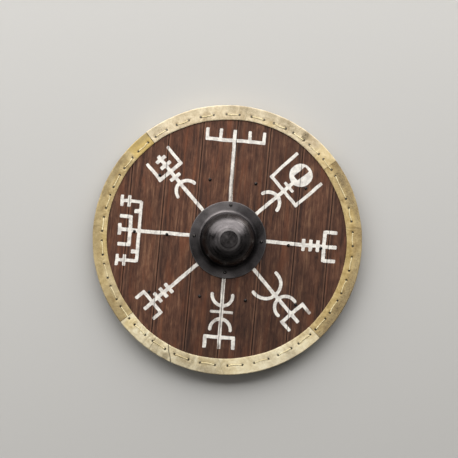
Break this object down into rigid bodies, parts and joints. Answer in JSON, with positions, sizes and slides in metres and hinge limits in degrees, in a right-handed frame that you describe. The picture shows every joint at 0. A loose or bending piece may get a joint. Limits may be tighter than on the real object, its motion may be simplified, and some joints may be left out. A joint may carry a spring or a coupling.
{
  "type": "wooden round shield",
  "caption": "Flat round shield of upright stained boards with a domed steel boss, a laced rawhide rim, painted stave ornament, and a batten handle behind the hand hole.",
  "frame": {"origin": "below the centre of the boss, on the plane that the handle and the two battens rest on when the shield lies on its back", "axes": "+Z out of the painted front, +Y along the boards towards the stave's top arm, +X along the handle to the right as seen from the front"},
  "size_m": [0.76, 0.76, 0.1006],
  "materials": {
    "boards": "dark brown stain, worn matt, with hand-painted white stave strokes",
    "battens": "thin brown stain over planed wood",
    "rawhide": "dry pale rawhide, mottled, satin",
    "lace": "pale rawhide thong",
    "boss": "blackened steel sheet, semi-gloss",
    "nails": "blackened iron"
  },
  "bodies": {
    "root": {"board_1": "boards", "board_2": "boards", "board_3": "boards", "board_4": "boards", "board_5": "boards", "board_6": "boards", "board_7": "boards", "board_8": "boards", "rim_hide_1": "rawhide", "rim_hide_2": "rawhide", "rim_hide_3": "rawhide", "rim_hide_4": "rawhide", "lace": "lace", "boss": "boss", "handle": "battens", "batten_upper": "battens", "batten_lower": "battens", "batten_nail_upper_1": "nails", "batten_nail_upper_2": "nails", "batten_nail_upper_3": "nails", "batten_nail_upper_4": "nails", "batten_nail_lower_1": "nails", "batten_nail_lower_2": "nails", "batten_nail_lower_3": "nails", "batten_nail_lower_4": "nails", "handle_nail_1": "nails", "handle_nail_2": "nails", "handle_nail_3": "nails", "handle_nail_4": "nails", "boss_nail_left": "nails", "boss_nail_right": "nails", "boss_rivet_top": "nails", "boss_rivet_bottom": "nails"}
  },
  "joints": []
}
